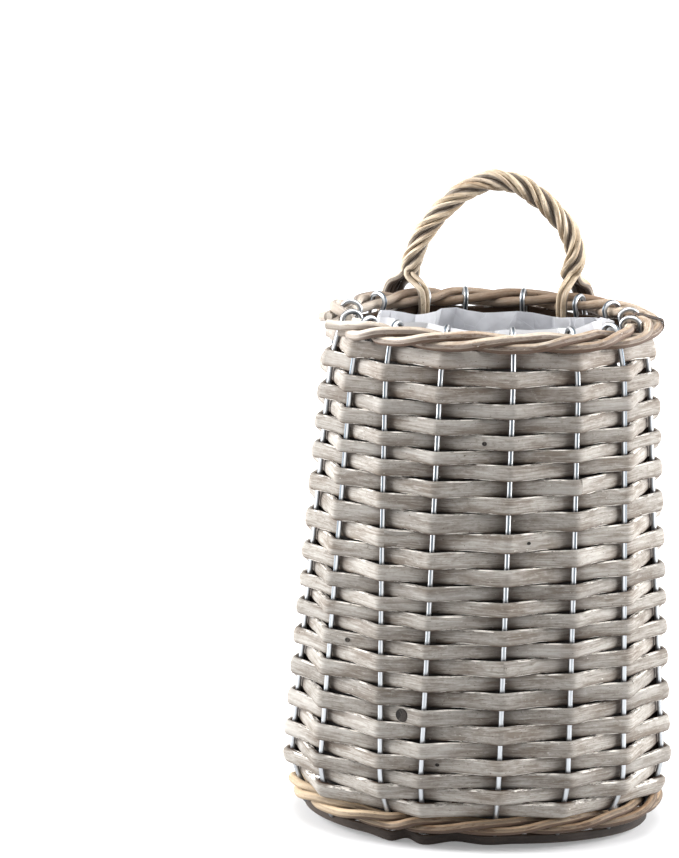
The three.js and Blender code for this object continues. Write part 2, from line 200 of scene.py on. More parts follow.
def lay_sweep_tree():
    """Geometry Nodes that sweep a cross section along a lay. Every point of the lay carries the
    directions and the half sizes of the section there."""
    tree = bpy.data.node_groups.new("Section swept along its lay", "GeometryNodeTree")
    add = partial(add_node, tree)
    sockets = {"Lay": "Geometry", "Section": "Object", "Finish": "Material", "Wander": "Float",
               "Wander length": "Float", "Swelling share": "Float", "Seed": "Float"}
    for name, kind in sockets.items():
        tree.interface.new_socket(name, in_out="INPUT", socket_type="NodeSocket" + kind)
    tree.interface.new_socket("Piece", in_out="OUTPUT", socket_type="NodeSocketGeometry")
    given = add("NodeGroupInput").outputs

    numbers = ("lay_along", "lay_half_out", "lay_half_up", "lay_slant", "section_out", "section_up")
    directions = ("lay_middle", "lay_out", "lay_up", "lay_ahead")
    carried = {}
    for kind, names in (("FLOAT", numbers), ("FLOAT_VECTOR", directions)):
        for name in names:
            found = add("GeometryNodeInputNamedAttribute", {"Name": name}, data_type=kind)
            carried[name] = found.outputs["Attribute"]

    def moved_by(place, direction, distance):
        """A place moved so far along one of the directions that the lay carries."""
        step = add("ShaderNodeVectorMath", {0: carried[direction], 3: distance}, operation="SCALE")
        return add("ShaderNodeVectorMath", {0: place, 1: step})

    curve = add("GeometryNodeMeshToCurve", {"Mesh": given["Lay"]})
    outline = add("GeometryNodeObjectInfo", {"Object": given["Section"]}).outputs["Geometry"]
    corner = add("ShaderNodeSeparateXYZ", {0: add("GeometryNodeInputPosition")})
    for axis, name in enumerate(("section_out", "section_up")):
        outline = add("GeometryNodeStoreNamedAttribute", {"Geometry": outline, "Name": name,
                                                          "Value": corner.outputs[axis]},
                      data_type="FLOAT", domain="POINT")
    swept = add("GeometryNodeCurveToMesh", {"Curve": curve, "Profile Curve": outline, "Fill Caps": True})
    steps = add("ShaderNodeMath", {0: carried["lay_along"], 1: given["Wander length"]}, operation="DIVIDE")
    where = add("ShaderNodeCombineXYZ", {0: steps, 1: given["Seed"]})
    elsewhere = add("ShaderNodeVectorMath", {0: where, 1: (0.0, 0.0, 7.3)})
    drift = add("ShaderNodeTexNoise", {"Vector": where, "Scale": 1.0, "Detail": 1.0})
    swell = add("ShaderNodeTexNoise", {"Vector": elsewhere, "Scale": 1.6, "Detail": 2.0})
    either_way = {"From Min": 0.25, "From Max": 0.75, "To Min": -1.0, "To Max": 1.0}
    shift = add("ShaderNodeMapRange", {"Value": drift, **either_way})
    swelling = add("ShaderNodeMapRange", {"Value": swell, **either_way})
    growth = add("ShaderNodeMath", {0: swelling, 1: given["Swelling share"], 2: 1.0},
                 operation="MULTIPLY_ADD")
    wander = add("ShaderNodeMath", {0: shift, 1: given["Wander"]}, operation="MULTIPLY")
    place = carried["lay_middle"]
    for side in ("out", "up"):
        half, share = carried["lay_half_" + side], carried["section_" + side]
        reach = add("ShaderNodeMath", {0: half, 1: share}, operation="MULTIPLY")
        grown = add("ShaderNodeMath", {0: reach, 1: growth}, operation="MULTIPLY")
        place = moved_by(place, "lay_" + side, grown)
    cut = add("ShaderNodeMath", {0: carried["lay_slant"], 1: carried["section_up"]}, operation="MULTIPLY")
    place = moved_by(moved_by(place, "lay_up", wander), "lay_ahead", cut)
    moved = add("GeometryNodeSetPosition", {"Geometry": swept, "Position": place})
    whole = add("GeometryNodeRealizeInstances", {"Geometry": moved})
    dressed = add("GeometryNodeSetMaterial", {"Geometry": whole, "Material": given["Finish"]})
    add("NodeGroupOutput", {"Piece": dressed})
    return tree


lay_sweep = lay_sweep_tree()


def section_of(name, outline):
    """A closed cross section as a curve, out along X and up along Y, in half sizes."""
    curve = bpy.data.curves.new(name, "CURVE")
    spline = curve.splines.new("POLY")
    spline.points.add(len(outline) - 1)
    for point, (out, up) in zip(spline.points, outline):
        point.co = (out, up, 0.0, 1.0)
    spline.use_cyclic_u = True
    section = new_object(name, curve)
    return section


def ahead_at(line, index):
    """The direction in which a line runs at one of its points."""
    return (line[min(index + 1, len(line) - 1)] - line[max(index - 1, 0)]).normalized()


def carried_frame(line, first_out):
    """Directions out of, up from and along a line, which turn as little as they can along it."""
    frames = []
    out = first_out
    for index in range(len(line)):
        ahead = ahead_at(line, index)
        out = (out - ahead * out.dot(ahead)).normalized()
        frames.append((out, ahead.cross(out), ahead))
    return frames


def lay(points, frames, half_out, half_up, shade, slants=0.0, tucks=0.0):
    """One lay: its points, directions and half sizes, each a number or one for each point. The tuck
    is 0 where a weaver goes over a wire and 1 where it goes behind one."""
    count = len(points)
    along = [0.0]
    for index in range(1, count):
        along.append(along[-1] + (points[index] - points[index - 1]).length)

    def spread(value):
        return list(value) if isinstance(value, (list, tuple)) else [value] * count

    return {"points": points, "frames": frames, "along": along, "shade": spread(shade),
            "half_out": spread(half_out), "half_up": spread(half_up), "slant": spread(slants),
            "tuck": spread(tucks)}


def swept_piece(name, lays, section, finish, body, nodes, wander=0.0, wander_length=40 * mm,
                swelling=0.0, seed=0.0, crease=40.0):
    """Sweeps a section along one or more lays, and makes the result one plain mesh on its body."""
    points, edges = [], []
    directions = {key: [] for key in ("middle", "out", "up", "ahead")}
    numbers = {key: [] for key in ("half_out", "half_up", "along", "shade", "slant", "tuck")}
    for each in lays:
        start = len(points)
        points += each["points"]
        edges += [(index, index + 1) for index in range(start, len(points) - 1)]
        for (out, up, ahead), point in zip(each["frames"], each["points"]):
            for key, part in zip(directions, (point, out, up, ahead)):
                directions[key].extend(part)
        for key in numbers:
            numbers[key] += each[key]
    guide = bpy.data.meshes.new(name + "_lay")
    guide.from_pydata(points, edges, [])
    for key, parts in directions.items():
        guide.attributes.new("lay_" + key, "FLOAT_VECTOR", "POINT").data.foreach_set("vector", parts)
    for key, parts in numbers.items():
        guide.attributes.new("lay_" + key, "FLOAT", "POINT").data.foreach_set("value", parts)
    carrier = new_object(name + "_lay", guide)
    sweep = carrier.modifiers.new("Sweep", "NODES")
    sweep.node_group = lay_sweep
    given = {"Section": section, "Finish": finish, "Wander": wander, "Wander length": wander_length,
             "Swelling share": swelling, "Seed": seed}
    for item in lay_sweep.interface.items_tree:
        if item.in_out == "INPUT" and item.name in given:
            sweep[item.identifier] = given[item.name]
    return settled_piece(name, carrier, body, nodes, crease)


def settled_piece(name, carrier, body, nodes, crease=40.0):
    """Turns what the modifiers of an object make into a plain mesh that rides on its body."""
    graph = bpy.context.evaluated_depsgraph_get()
    mesh = bpy.data.meshes.new_from_object(carrier.evaluated_get(graph), preserve_all_data_layers=True,
                                           depsgraph=graph)
    mesh.name = name
    bpy.data.objects.remove(carrier)
    shape = bmesh.new()
    shape.from_mesh(mesh)
    bmesh.ops.recalc_face_normals(shape, faces=shape.faces)
    shape.to_mesh(mesh)
    shape.free()
    mesh.polygons.foreach_set("use_smooth", [True] * len(mesh.polygons))
    mesh.set_sharp_from_angle(angle=math.radians(crease))
    piece = new_object(name, mesh)
    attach(piece, body)
    if nodes:
        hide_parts(*nodes)
    return piece


def wire_leg(wire):
    """The line of one upright: its tail, the hook over the rim, the wall and the bend to the floor."""
    bend = rim_twist["bend"]
    path = [wall_point(wire, rim_level - hook_tail, -2 * bend)]
    for step in range(hook_steps + 1):
        angle = math.pi * (1 - step / hook_steps)
        path.append(wall_point(wire, rim_level, bend * (math.cos(angle) - 1),
                               rim_level + hook_rise + bend * hook_squeeze * math.sin(angle)))
    for step in range(wall_steps + 1):
        path.append(wall_point(wire, mix(rim_level, foot_level, step / wall_steps)))
    for step in range(1, foot_steps + 1):
        angle = turn / 4 * step / foot_steps
        path.append(wall_point(wire, foot_level, -foot_twist["bend"] * (1 - math.cos(angle)),
                               foot_level - foot_twist["bend"] * math.sin(angle)))
    path.append(wall_point(wire, foot_level, -wire_run_inset, run_level))
    return path


def galvanised_steel():
    """Galvanised steel wire, drawn and dipped in zinc, with soft clouds in its shine. Its colour holds
    a painted reflection: bright along both flanks and dark grey down the middle, as two lights at
    the sides and a dark room in front show on it. Low down the wires are one even grey, and under
    the floor they are painted dark as shade."""
    steel, add, shader = new_finish("Galvanised steel wire")
    place = add("ShaderNodeTexCoord").outputs["Object"]
    clouds = add("ShaderNodeTexNoise", {"Vector": place, "Scale": 260.0, "Detail": 3.0})
    # Painted reflection: the ramp below is dark down the middle of the wire and bright on both flanks.
    flank = add("ShaderNodeAttribute", attribute_name="section_up").outputs["Fac"]
    reach = add("ShaderNodeMath", {0: flank}, operation="ABSOLUTE")
    colour = add("ShaderNodeValToRGB", {"Fac": reach})
    reflection_stops = colour.color_ramp.elements
    for position, shade in ((0.54, "#d3d5d6"), (0.84, "#c6c8ca")):
        reflection_stops.new(position).color = linear(shade)
    reflection_stops[0].position, reflection_stops[0].color = 0.34, linear("#565d64")
    reflection_stops[-1].position, reflection_stops[-1].color = 1.0, linear("#7c8186")
    height = add("ShaderNodeSeparateXYZ", {0: place}).outputs["Z"]
    # Low down the wire is one even grey; under the floor it is painted dark as shade.
    for low, high, below in ((50 * mm, 170 * mm, "#acb0b4"),
                             (run_level + wire_radius, foot_level, "#3b3734")):
        above = add("ShaderNodeMapRange", {"Value": height, "From Min": low, "From Max": high})
        mixed = add("ShaderNodeMix", {"Factor": above, "A": linear(below), "B": colour}, data_type="RGBA")
        colour = mixed.outputs["Result"]
    gloss = add("ShaderNodeMapRange", {"Value": clouds, "To Min": 0.26, "To Max": 0.46})
    bump = add("ShaderNodeBump", {"Height": clouds, "Strength": 0.15, "Distance": 0.2 * mm})
    connect(shader, {"Base Color": colour, "Metallic": 1.0, "Roughness": gloss, "Normal": bump})
    return steel


round_outline = [(math.cos(turn * step / 16), math.sin(turn * step / 16)) for step in range(16)]
round_section = section_of("round_section", round_outline)
steel = galvanised_steel()
for pair in range(wire_count // 2):
    front, back = wire_count // 2 + pair, wire_count // 2 - 1 - pair
    line = wire_leg(front) + wire_leg(back)[::-1]
    frames = carried_frame(line, wall_point(front, rim_level, 1.0) - wall_point(front, rim_level))
    swept_piece(f"upright_wire_{pair + 1}", [lay(line, frames, wire_radius, wire_radius, 0.0)],
                round_section, steel, "root", [f"stake_wire_{pair + 1}"], seed=pair * 3.7)

# Weaver rows.
# Twenty-nine rows of split willow, flat inside and round outside, soaked and woven wet before one
# wire and behind the next. The rods are limewashed after weaving, so white stays along their edges,
# where it also stands in for the highlight on their top edges.
weaver_half_out = 2 * mm
weaver_offset = wire_radius + weaver_gap + weaver_half_out
weaver_end_gap, usual_wire_spacing = 0.5 * mm, 36 * mm
row_joints = (3, 4)
crease_share = 0.05
weaver_steps_per_wire = 32
look_aside, look_up = 0.02, 4 * mm
hang_most, hang_start = 2.06 * mm, 0.1
slit_share = 0.72
slit_depth = 0.9 * mm
seam_gap = 0.45 * mm
left_lift_most, left_lift_height = 3.8 * mm, 170 * mm
right_lift_slope, right_lift_start = 0.031, -30 * mm
right_lift_from, right_lift_over = 12 * mm, 30 * mm
right_lift_foot_share, right_lift_full_height = 0.45, 60 * mm
back_lift_most, back_lift_from, back_lift_over = 1.6 * mm, 8 * mm, 40 * mm
left_end_share, back_side_share = 0.45, 0.3
lap_lift, lap_half_out = 1.1 * mm, 0.9 * mm
lap_cut, lap_cut_steps, lap_height_share = 4.5 * mm, 5, 0.93

# No two rows are alike: how tall each one is over a wire, and how far it is beaten up or down.
row_heights = [10.6, 9.7, 9.7, 8.8, 9.2, 8.4, 7.5, 9.1, 9.6, 9.4, 11.4, 10.6, 9.8, 9.4, 8.5, 8.1,
               8.3, 8.9, 8.6, 9.6, 9.4, 10.1, 9.9, 9.9, 9.4, 8.8, 8.3, 8.8, 9.9]
row_lifts = [0.5, 0, -0.3, -0.4, -0.2, 0.1, 0.9, 1.9, 1.6, 1.6, 0.5, -1, -2, -2.2, -2.5, -1.6,
             -0.7, 0.2, 0.7, 1, 0.9, 0.7, -0.3, -0.3, -0.8, -0.4, -0.2, 0.5, -0.1]


def end_lift(place, height):
    """The weave was beaten up a little towards its ends: at the left one most of all near the
    floor, and at the right one all the way up to just under the rim. At the back it was beaten
    up against the rim."""
    angle = turn * turn_share(place, height)
    leftward = max(0.0, -math.cos(angle) - left_end_share) / (1 - left_end_share)
    left = left_lift_most * leftward * max(0.0, 1 - height / left_lift_height)
    above_foot = clamped((height - foot_level) / right_lift_full_height)
    below_rim = clamped((rim_level - right_lift_from - height) / right_lift_over)
    rightward = max(0.0, wall_point(place, height).x - right_lift_start)
    right = right_lift_slope * rightward * mix(right_lift_foot_share, 1.0, above_foot) * below_rim
    below_back = rim_level - back_lift_from - height
    if below_back <= 0:
        return left + right
    behind = max(0.0, math.sin(angle) - back_side_share) / (1 - back_side_share)
    return left + right + back_lift_most * behind * max(0.0, 1 - below_back / back_lift_over)


def weaver_level(row):
    return high_row_level - (row - 1) * row_pitch + row_lifts[min(row_count, max(1, row)) - 1] * mm


def weaver_height_over(row):
    return row_heights[min(row_count, max(1, row)) - 1] * mm


def weaver_height_behind(row):
    """The room between the rows above and below where both go over a wire."""
    between = weaver_level(row - 1) - weaver_level(row + 1)
    return between - (weaver_height_over(row - 1) + weaver_height_over(row + 1)) / 2


def passes_inside(row, wire):
    return (row + wire) % 2 == 1


def weaver_point(row, place, outward=0.0):
    """A point of a row's middle line: straight from wire to wire, with a tight bend over each."""
    height = weaver_level(row)

    def corner(wire):
        out = -weaver_offset if passes_inside(row, wire) else weaver_offset
        return wall_point(wire, height + end_lift(wire, height), outward + out)

    wire = round(place)
    away = place - wire
    if abs(away) >= crease_share:
        low = math.floor(place)
        return corner(low).lerp(corner(low + 1), place - low)
    share = (away + crease_share) / (2 * crease_share)
    before = corner(wire).lerp(corner(wire - 1), crease_share)
    after = corner(wire).lerp(corner(wire + 1), crease_share)
    return before * (1 - share) ** 2 + corner(wire) * (2 * share * (1 - share)) + after * share ** 2


def weaver_lay(row, start, end, shade, outward=0.0, half_out=weaver_half_out, height_share=1.0, slant=0.0):
    """A row, or a length of one, from one place along the ring of wires to another. It fills the
    room between its neighbours. Where it goes behind a wire it hangs down behind the row below,
    and leaves a thin slit over it. The slant is how far a cut end leans along the row."""
    height = weaver_level(row)
    steps = max(4, round((end - start) * weaver_steps_per_wire))
    cut_slants = [slant * max(0.0, 1 - (steps - step) / lap_cut_steps) for step in range(steps + 1)]
    points, frames, half_up, tucks = [], [], [], []
    for step in range(steps + 1):
        place = mix(start, end, step / steps)
        before, after = (weaver_point(row, place + aside, outward) for aside in (-look_aside, look_aside))
        ahead = (after - before).normalized()
        below, above = (wall_point(place, height + aside) for aside in (-look_up, look_up))
        rise = (above - below).normalized()
        frames.append((ahead.cross(rise).normalized(), rise, ahead))
        low = math.floor(place)
        tuck = mix(passes_inside(row, low), passes_inside(row, low + 1), place - low)
        narrow = max(0.0, (tuck - slit_share) / (1 - slit_share))
        hang = hang_most * max(0.0, 2 * tuck - 1 - hang_start)
        hang -= slit_depth * narrow * narrow * (3 - 2 * narrow)
        squeeze = 1 + (end_lift(place, height + mm) - end_lift(place, height - mm)) / (2 * mm)
        room = mix(weaver_height_over(row), weaver_height_behind(row), tuck) * squeeze * height_share
        half_up.append((room - seam_gap + hang) / 2)
        points.append(weaver_point(row, place, outward) - rise * hang / 2)
        tucks.append(tuck)
    return lay(points, frames, half_out, half_up, shade, cut_slants, tucks)


def willow_finish(name, ground, stain, wash, edge, wash_share, stain_share, gloss, shade_and_specks="#5a4636",
                  shade_behind_wire=0.0, back_shade=0.0):
    """Willow: long fine grain along the rod, brown stains from the bark, and white limewash left
    in the grain and along the edges, where it also stands in for the highlight on the top edges.
    The partings between rods are painted dark as shade, and the same dark gives small specks. The
    grain follows the lay of each rod and is drawn twice as coarse as it is, so that it shows.
    A weaver has its share of painted shade where it goes behind a wire, painted shade on its lower
    half and lower edge and on its inner face, which no limewash reached, and crumbs of limewash
    along its edges. Round rods have painted shade in their crevices, less of it at the left, are
    painted whiter at the left where the light falls, and have their share of painted shade at the back."""
    finish, add, shader = new_finish(name)

    def grain_of(sizes_mm, detail, rough=0.55):
        """Grain in flecks of these sizes along, across and into the rod."""
        spread = add("ShaderNodeVectorMath", {0: on_rod, 1: tuple(1000 / size for size in sizes_mm)},
                     operation="MULTIPLY")
        return add("ShaderNodeTexNoise", {"Vector": spread, "Scale": 1.0, "Detail": detail,
                                          "Roughness": rough})

    def kept(share, *patterns):
        """How much of a coat is left. Each pattern takes all of it away at its first number, and
        leaves it at its second."""
        for pattern, gone, whole in patterns:
            share = add("ShaderNodeMapRange", {"Value": pattern, "From Min": gone, "From Max": whole,
                                               "To Max": share}, interpolation_type="SMOOTHSTEP")
        return share

    def coated(under, paint, share, *patterns):
        """A colour under what is left of a coat of another."""
        coat = add("ShaderNodeMix", {"Factor": kept(share, *patterns), "A": under, "B": linear(paint)},
                   data_type="RGBA")
        return coat.outputs["Result"]

    section_up, section_out, half_up, half_out, along, shade, tuck = (
        add("ShaderNodeAttribute", attribute_name=name).outputs["Fac"]
        for name in ("section_up", "section_out", "lay_half_up", "lay_half_out", "lay_along", "lay_shade",
                     "lay_tuck"))
    across = add("ShaderNodeMath", {0: section_up, 1: half_up}, operation="MULTIPLY")
    deep = add("ShaderNodeMath", {0: section_out, 1: half_out}, operation="MULTIPLY")
    apart = add("ShaderNodeMath", {0: shade, 1: 3.1, 2: deep}, operation="MULTIPLY_ADD")
    on_rod = add("ShaderNodeCombineXYZ", {0: along, 1: across, 2: apart})
    x, y, z = add("ShaderNodeSeparateXYZ", {0: add("ShaderNodeTexCoord").outputs["Object"]}).outputs
    grain = grain_of((13, 0.8, 0.9), 5.0, 0.68)
    mottle = grain_of((2.6, 1.4, 1.5), 4.0, 0.62)
    patches = grain_of((24, 6, 9), 3.0)
    broad = grain_of((50, 12, 20), 2.0)
    colour = linear(ground)
    for paint, share, *pattern in (
            (stain, stain_share, patches, 0.42, 0.66), (stain, 0.7, grain, 0.5, 0.68),
            (wash, wash_share, grain, 0.5, 0.34), (stain, 0.45, mottle, 0.52, 0.68),
            (wash, 0.3, mottle, 0.45, 0.3), (wash, wash_share, broad, 0.5, 0.72)):
        colour = coated(colour, paint, share, pattern)
    off_middle = add("ShaderNodeMath", {0: section_up}, operation="ABSOLUTE")
    by_edge = ((grain_of((7, 1.6, 1.6), 4.0, 0.7), 0.42, 0.5), (off_middle, 0.82, 0.92))
    if shade_behind_wire:
        edge_wash_and_highlight = kept(1.0, (tuck, 0.72, 0.6), (tuck, 0.12, 0.26), *by_edge)
        # Painted shade: the lower half of each weaver is darker, and its lower edge darkest.
        colour = coated(colour, stain, 0.6, (section_up, -0.4, -0.95))
        colour = coated(colour, shade_and_specks, 0.8, (section_up, -0.72, -0.97))
        # Painted shade where a weaver goes behind a wire, and on its inner face, which no limewash reached.
        behind, inside = kept(shade_behind_wire, (tuck, 0.7, 0.98)), kept(1.0, (section_out, 0.0, -0.6))
        unwashed_and_shaded = add("ShaderNodeMath", {0: behind, 1: inside}, operation="MAXIMUM")
        colour = coated(colour, shade_and_specks, unwashed_and_shaded)
        colour = coated(colour, "#6d5745", 0.4, (z, 200 * mm, 340 * mm))
    else:
        edge_wash_and_highlight = kept(0.12, *by_edge)
        # Painted shade in a round rod's crevices, on its flanks and inner face, less of it at the left
        # where the light falls.
        flank, inside = kept(1.0, (off_middle, 0.8, 0.97)), kept(1.0, (section_out, -0.05, -0.6))
        crevice_sides = add("ShaderNodeMath", {0: flank, 1: inside}, operation="MAXIMUM")
        in_shade = add("ShaderNodeMapRange", {"Value": x, "From Min": -95 * mm, "From Max": -60 * mm,
                                              "To Min": 0.3, "To Max": 0.95})
        painted_crevice_shade = add("ShaderNodeMath", {0: crevice_sides, 1: in_shade}, operation="MULTIPLY")
        # Painted light: the rods are whiter at the left, where the light falls.
        colour = coated(colour, wash, 0.6, (x, -20 * mm, -80 * mm))
        # Painted shade: the rods are darker at the back.
        colour = coated(colour, stain, back_shade, (y, 20 * mm, 50 * mm))
        colour = coated(colour, shade_and_specks, painted_crevice_shade)
    # Limewash crumbs along the edges, which also stand in for the highlight on the top edges.
    colour = coated(colour, edge, edge_wash_and_highlight)
    colour = coated(colour, shade_and_specks, 0.7, (grain_of((1.3, 1.0, 1.0), 1.0), 0.71, 0.77))
    colour = coated(colour, edge, 0.8, (grain_of((2.6, 0.9, 1.0), 1.0), 0.77, 0.82))
    rod_tone = add("ShaderNodeTexWhiteNoise", {"W": shade}, noise_dimensions="1D").outputs["Value"]
    tones = add("ShaderNodeMath", {0: rod_tone, 1: grain_of((70, 40, 1), 1.0)}, operation="ADD")
    tone = add("ShaderNodeMapRange", {"Value": tones, "From Min": 0.3, "From Max": 1.6, "To Min": 0.76,
                                      "To Max": 1.2})
    shaded = add("ShaderNodeHueSaturation", {"Value": tone, "Color": colour})
    rough = add("ShaderNodeMapRange", {"Value": grain, "To Min": gloss, "To Max": min(1.0, gloss + 0.2)})
    height = add("ShaderNodeMath", {0: grain, 1: 0.7, 2: edge_wash_and_highlight}, operation="MULTIPLY_ADD")
    bump = add("ShaderNodeBump", {"Height": height, "Strength": 0.9, "Distance": 0.7 * mm})
    connect(shader, {"Base Color": shaded, "Roughness": rough, "IOR": 1.45, "Normal": bump})
    return finish


split_outline = [(mix(-0.2, 1.0, math.cos(math.radians(angle)) ** 0.6), math.sin(math.radians(angle)))
                 for angle in (-89, -80, -68, -52, -34, -17, 0, 17, 34, 52, 68, 80, 89)]
split_section = section_of("split_section", split_outline + [(-1.0, 0.9), (-1.0, 0.0), (-1.0, -0.9)])
washed_willow = willow_finish("Limewashed split willow", "#96918a", "#675c51", "#bdbab5", "#efe9e1",
                              0.42, 0.8, 0.62, "#3d2b1d", 0.6)

# The ends of worn-out weavers: the row, the places along the ring where the new one starts and ends.
lap_places = [(17, 11.05, 11.42), (17, 12.05, 12.34), (15, 10.05, 10.62), (17, 9.95, 10.55),
              (18, 11.1, 11.75), (20, 12.0, 12.4), (6, 9.0, 9.4), (9, 13.05, 13.5), (12, 10.1, 10.45),
              (24, 11.0, 11.6), (4, 2.0, 2.5), (8, 4.05, 4.5), (13, 3.0, 3.45), (19, 5.05, 5.6),
              (23, 1.1, 1.5), (27, 4.0, 4.45), (22, 14.1, 14.6)]

for row in range(1, row_count + 1):
    joint = row_joints[row % 2]
    gap_share = weaver_end_gap / usual_wire_spacing
    lays = [weaver_lay(row, joint + gap_share, joint + wire_count - gap_share, row * 1.37)]
    for lap_row, start, end in lap_places:
        if lap_row == row:
            lays.append(weaver_lay(row, start, end, row * 2.11 + start, lap_lift, lap_half_out,
                                   lap_height_share, lap_cut))
    swept_piece(f"weaver_{row:02d}", lays, split_section, washed_willow, "root",
                [f"weaver_row_{row:02d}"], wander=0.35 * mm, wander_length=38 * mm, swelling=0.05,
                seed=row * 5.3, crease=50)

# Knots.
# Where a side shoot was cut from a weaver, a dark oval stub with a rough end is left on its face.
# They are in the rods as they grew, so they stand wherever the weaving leaves them.
knot_places = [(23, 10.52, 3.7, 3.5), (6, 11.64, 1.3, 1.2), (12, 12.3, 1.1, 0.9), (26, 11.2, 1.2, 0.9),
               (19, 9.4, 1.5, 1.3), (9, 4.45, 2.6, 2.4), (21, 2.55, 2.9, 2.7), (14, 0.6, 2, 1.8),
               (5, 6.5, 1.6, 1.4)]
knot_reaches, knot_shares = [0.4, 1.7, 2.25, 2.4, 2.2], [1.0, 1.0, 0.9, 0.72, 0.05]


def knot_lay(row, place, half_along, half_up):
    """A short stub that stands out of the middle of a weaver's face."""
    middle = weaver_point(row, place)
    ahead = (weaver_point(row, place + look_aside) - weaver_point(row, place - look_aside)).normalized()
    out = ahead.cross(upward).normalized()
    return lay([middle + out * reach * mm for reach in knot_reaches],
               [(ahead, upward, out)] * len(knot_reaches),
               [half_along * share * mm for share in knot_shares],
               [half_up * share * mm for share in knot_shares], row + place)


knot_wood = willow_finish("Cut end of a side shoot", "#2b2623", "#14110f", "#4a443e", "#8d857b",
                          0.3, 0.8, 0.85, "#14110f")
swept_piece("weaver_knots", [knot_lay(*each) for each in knot_places], round_section, knot_wood, "root",
            [], swelling=0.1, seed=13.0)

# Rim and foot borders.
# Each border is three thin willow rods twisted round the wires, out over two and in behind the
# third. They are whole peeled rods, buff and a little glossy, pulled tight by hand.
rim_start, rim_end_places = 0.5417 * wire_count, 0.056 * wire_count
foot_start, foot_end_places = 0.2083 * wire_count, 0.0025 * wire_count
stub_lengths = (6 * mm, 9 * mm, 4 * mm)
stub_lean_share, stub_steps = 0.45, 6
border_steps_per_wire = 24
rim_rod_drawn, foot_rod_drawn = 2.6 * mm, 2.35 * mm
rim_twist["pull"], rim_twist["beaten"], rim_twist["drop"] = 0.95, 0.8, 1.2 * mm
foot_twist["pull"], foot_twist["beaten"], foot_twist["drop"] = 0.68, 0.8, -1.3 * mm


def twist_point(twist, level, rod, place):
    """A point of one rod of a twist, pulled a little tighter than the room it has."""
    eased = place - twist_dwell_share * math.sin(turn * place) / math.sin(turn / 3)
    angle = turn / 3 * (eased + rod) - turn / 6
    climb = twist["climb"] * twist["beaten"] * math.sin(angle)
    height = level - twist["drop"] + end_lift(place, level) + climb
    return wall_point(place, height, (twist["line"] + twist["swing"] * math.cos(angle)) * twist["pull"])


def twist_lay(twist, level, rod, start, stub, gap_places, radius, shade):
    """One rod of a border, with a straight stub before its start that leans out of the ring."""
    end = start + wire_count - gap_places
    steps = round((end - start) * border_steps_per_wire)
    line = [twist_point(twist, level, rod, mix(start, end, step / steps)) for step in range(steps + 1)]
    if stub:
        middle = wall_point(start, level)
        along = (middle - wall_point(start + 1 / 3, level)).normalized()
        outward = (wall_point(start, level, stub) - middle).normalized()
        lean = (along + outward * stub_lean_share).normalized()
        line = [line[0] + lean * stub * step / stub_steps for step in range(stub_steps, 0, -1)] + line
    return lay(line, carried_frame(line, upward), radius, radius, shade)


rod_outline = [(math.cos(angle) * (1 + 0.05 * math.cos(3 * angle)),
                math.sin(angle) * (1 + 0.04 * math.cos(2 * angle)))
               for angle in (turn * step / 14 for step in range(14))]
rod_section = section_of("rod_section", rod_outline)
rim_willow = willow_finish("Peeled willow rod, weathered", "#cbbaa5", "#8a6d54", "#e6dfd5", "#f1eae0",
                           0.45, 0.75, 0.5, "#4a3425", back_shade=0.6)
foot_willow = willow_finish("Peeled willow rod, buff", "#b0957a", "#77583d", "#cdb99a", "#d9c8ab",
                            0.35, 0.75, 0.5, "#3f2d20")
borders = {"rim": (rim_twist, rim_level, rim_start, stub_lengths, rim_end_places, rim_rod_drawn),
           "foot": (foot_twist, foot_level, foot_start, (0, 0, 0), foot_end_places, foot_rod_drawn)}
for side, finish, first_shade, first_seed in (("rim", rim_willow, 40, 71), ("foot", foot_willow, 50, 91)):
    twist, level, start, stubs, gap_places, radius = borders[side]
    for rod in range(3):
        rod_lay = twist_lay(twist, level, rod, start, stubs[rod], gap_places, radius, first_shade + rod)
        swept_piece(f"{side}_border_{rod + 1}", [rod_lay], rod_section, finish, "root",
                    [f"{side}_rod_{rod + 1}"], wander=0.3 * mm, swelling=0.09, seed=first_seed + rod * 5.1)

# Handle.
# A rope of three strands, each a pair of thin buff rods laid side by side and twisted while soft.
# One strand tucks down inside the rim at each foot, and two go down outside it.
handle_half_span, handle_rise = 44.5 * mm, 59 * mm
handle_turns, handle_steps_per_turn = 3, 9
handle_line_shares = [(-0.99, 0.12), (-0.96, 0.24), (-0.91, 0.37), (-0.81, 0.52), (-0.66, 0.67),
                      (-0.44, 0.84), (-0.19, 0.96), (0.07, 1), (0.33, 0.95), (0.57, 0.83),
                      (0.785, 0.68), (0.94, 0.51), (1, 0.34), (0.985, 0.21), (0.96, 0.12)]
left_foot, right_foot = 0.328 * wire_count, 0.143 * wire_count
strand_radius = 2.4 * mm
strand_gap = 0.75 * mm
strand_swing = (2 * strand_radius + strand_gap) / math.sqrt(3) / math.cos(turn / handle_steps_per_turn / 2)
foot_reach = rim_twist["swing"] + rim_rod_radius + fit_gap + strand_radius
handle_tuck, handle_knee_drop = 12 * mm, 1 * mm
outer_foot_lean, knee_lean_share = 8 * mm, 0.3
inner_leans = {left_foot: (4.6 * mm, 4 * mm), right_foot: (-0.8 * mm, -0.6 * mm)}
twin_rods = ((2.45 * mm, 1.85 * mm, -1.25 * mm), (2.1 * mm, 1.3 * mm, 1.75 * mm))
drawn_swing = 3.2 * mm
smooth_steps, rope_spacing, strand_spacing = 12, 1 * mm, 1.1 * mm


